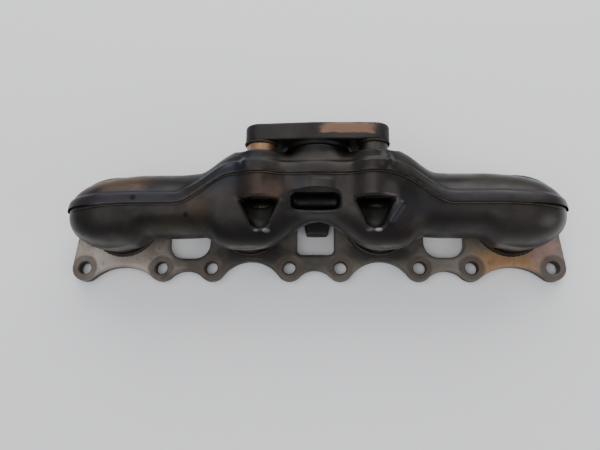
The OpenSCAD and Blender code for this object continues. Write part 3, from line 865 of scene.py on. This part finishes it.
def make_sleeve(name, x, z, r, bore, start, slot):
    """Bolt sleeve: a tube with small chamfers."""
    c = 0.5
    profile = [
        (bore + c, start), (r - c, start), (r, start + c), (r, TURBO_BACK),
        (bore, TURBO_BACK), (bore, start + c),
    ]
    dense = []
    for (r0, h0), (r1, h1) in zip(profile, profile[1:] + profile[:1]):
        steps = max(1, int(max(abs(r1 - r0), abs(h1 - h0)) / 0.6))
        dense += [(r0 + (r1 - r0) * k / steps, h0 + (h1 - h0) * k / steps) for k in range(steps)]
    tube = revolved(name + "_tube", dense, 96, along_y(x, z))
    tube.data.set_sharp_from_angle(angle=math.radians(30))
    finish_piece(tube, slot, name)


def weld_ring(name, r, base, size, place, direction=1, ripples=30):
    """Fillet weld round a circle, laid as overlapping ripples that vary a little in size."""
    segments = ripples * 8
    around = 9
    phase = RANDOM.uniform(0, 1)
    sizes = RANDOM.uniform(0.86, 1.12, 12)
    uneven = np.interp(np.arange(segments), np.linspace(0, segments, 13), np.append(sizes, sizes[0]))
    points = []
    for i in range(segments):
        a = 2 * math.pi * i / segments
        saw = (i / 8 + phase) % 1
        lift = 0.84 + 0.16 * math.sin(math.pi * saw) ** 0.7
        s = size * uneven[i] * lift
        for j in range(around):
            t = math.pi / 2 * j / (around - 1)
            lean = a + 0.25 * size / r * math.sin(2 * t)
            points.append(place(r + s * math.cos(t), lean, base + direction * s * math.sin(t)))
        points.append(place(r - 0.05, a, base - direction * 0.02))
    ring = mesh_object(name + "_bead", points, ring_faces(segments, around + 1))
    finish_piece(ring, "weld_metal", name)


def make_seam_weld():
    """Bead along the edge of the lap, on the face of the lower shell."""
    reach = SHELL_END - 6
    xs = np.arange(-reach, reach, 0.7)
    ys = seam_y(xs) - 0.45
    low = np.full(xs.shape, 45.0)
    high = np.full(xs.shape, 84.0)
    for _ in range(30):
        mid = (low + high) / 2
        inside = form_distance(xs, ys, mid) < 0
        low = np.where(inside, mid, low)
        high = np.where(inside, high, mid)
    zs = low + 0.35
    centre = np.stack([xs, ys, zs], 1)
    ahead = np.gradient(centre, axis=0)
    ahead /= np.linalg.norm(ahead, axis=1)[:, None]
    right = np.cross(ahead, [0, 0, 1])
    right /= np.linalg.norm(right, axis=1)[:, None]
    up = np.cross(right, ahead)
    sides = 10
    ripple = 0.9 + 0.1 * np.cos(2 * np.pi * xs / 2.1)
    uneven = np.interp(xs, np.linspace(-reach, reach, 60), RANDOM.uniform(0.85, 1.1, 60))
    taper = ease((reach - abs(xs)) / 4) * 0.9 + 0.1
    size = 0.6 * ripple * uneven * taper
    points = []
    for c, r, u, s in zip(centre, right, up, size):
        for j in range(sides):
            t = 2 * math.pi * j / sides
            points.append(c + s * (math.cos(t) * r + math.sin(t) * u))
    faces = []
    for i in range(len(xs) - 1):
        for j in range(sides):
            a = i * sides + j
            b = i * sides + (j + 1) % sides
            faces.append((a, b, b + sides, a + sides))
    points += [centre[0], centre[-1]]
    first, last = len(points) - 2, len(points) - 1
    end = (len(xs) - 1) * sides
    for j in range(sides):
        k = (j + 1) % sides
        faces.append((first, k, j))
        faces.append((last, end + j, end + k))
    bead = mesh_object("seam_weld_bead", points, faces)
    finish_piece(bead, "weld_metal", "seam_weld")


def make_small_pieces():
    for name, x, slot in (("bolt_sleeve_left", TURBO_BOLT_X[0], "sleeve_copper_tint"),
                          ("bolt_sleeve_right", TURBO_BOLT_X[1], "sleeve_steel")):
        make_sleeve(name, x, TURBO_BOLT_Z, SLEEVE_R, SLEEVE_BORE_R, 0, slot)
    make_sleeve("bolt_sleeve_lower", TURBO_X, TURBO_LOW_Z, LOW_SLEEVE_R, LOW_SLEEVE_BORE_R,
                LOW_SLEEVE_START, "sleeve_steel")
    for k, port in enumerate(PORT_X, 1):
        weld_ring("collar_weld_%d" % k, COLLAR_R + 0.1, PLATE_T, 2.2, along_z(port, COLLAR_Y), ripples=44)
    for name, x in zip(("sleeve_weld_left", "sleeve_weld_right"), TURBO_BOLT_X):
        weld_ring(name, SLEEVE_R, TURBO_BACK, 1.6, along_y(x, TURBO_BOLT_Z), -1, 20)
    weld_ring("sleeve_weld_lower", LOW_SLEEVE_R, TURBO_BACK, 1.6, along_y(TURBO_X, TURBO_LOW_Z), -1, 16)


def paint_kept_nodes():
    """The gas liners and the welds at their ends stay as the CAD model made them."""
    slots = {row["node"]: row["material_slot"] for row in frame["record"]["subparts"]}
    replaced = {name for obj in bpy.data.objects for name in obj.get("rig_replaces", [])}
    for name, obj in frame["nodes"].items():
        if name in replaced:
            continue
        obj.data.materials.clear()
        obj.data.materials.append(MATERIALS[slots[name]])


# ---------- floor, light and camera ----------

def make_stage():
    corners = [(3000 * x, 3000 * y, -0.3) for x, y in ((-1, -1), (1, -1), (1, 1), (-1, 1))]
    floor = mesh_object("floor", corners, [(0, 1, 2, 3)])
    paper = bpy.data.materials.new("floor_paper")
    paper.use_nodes = True
    shader = paper.node_tree.nodes["Principled BSDF"]
    shader.inputs["Base Color"].default_value = (0.80, 0.80, 0.80, 1)
    shader.inputs["Roughness"].default_value = 0.9
    floor.data.materials.append(paper)
    world = bpy.data.worlds.new("studio")
    world.use_nodes = True
    world.node_tree.nodes["Background"].inputs["Color"].default_value = (0.9, 0.93, 1.0, 1)
    world.node_tree.nodes["Background"].inputs["Strength"].default_value = 0.55
    bpy.context.scene.world = world


def area_light(name, place, target, size, power, colour=(1, 1, 1)):
    data = bpy.data.lights.new(name, "AREA")
    data.shape = "RECTANGLE"
    data.size, data.size_y = size
    data.energy = power
    data.color = colour
    light = bpy.data.objects.new(name, data)
    bpy.context.scene.collection.objects.link(light)
    back = np.array(place, float) - np.array(target, float)
    overhead = abs(back[2]) >= 0.98 * np.linalg.norm(back)
    light.matrix_world = facing(place, back, (0, 1, 0) if overhead else (0, 0, 1))


def facing(place, back, up):
    """A matrix at place whose Z axis points along back."""
    back = np.array(back, float) / np.linalg.norm(back)
    right = np.cross(up, back)
    right /= np.linalg.norm(right)
    up = np.cross(back, right)
    matrix = Matrix.Identity(4)
    for row in range(3):
        for column, axis in enumerate((right, up, back)):
            matrix[row][column] = axis[row]
        matrix[row][3] = place[row]
    return matrix


def make_lights():
    area_light("window", (0.1, 0.9, 0.7), (0, 0, 0.03), (1.6, 0.7), 13)
    area_light("ceiling", (-0.3, -0.1, 1.3), (0, 0, 0.03), (1.2, 1.2), 9)
    area_light("side", (1.1, -0.5, 0.6), (0, 0, 0.03), (0.8, 0.8), 4)


def make_camera():
    data = bpy.data.cameras.new("camera")
    data.lens = 37.5
    data.sensor_width = 36
    data.clip_start = 0.01
    camera = bpy.data.objects.new("camera", data)
    bpy.context.scene.collection.objects.link(camera)
    camera.matrix_world = facing(CAMERA_PLACE, CAMERA_BACK, CAMERA_UP)
    bpy.context.scene.camera = camera


make_camera()
make_lights()
make_stage()
make_shells()
make_head_flange()
make_turbo_flange()
make_small_pieces()
make_seam_weld()
paint_kept_nodes()
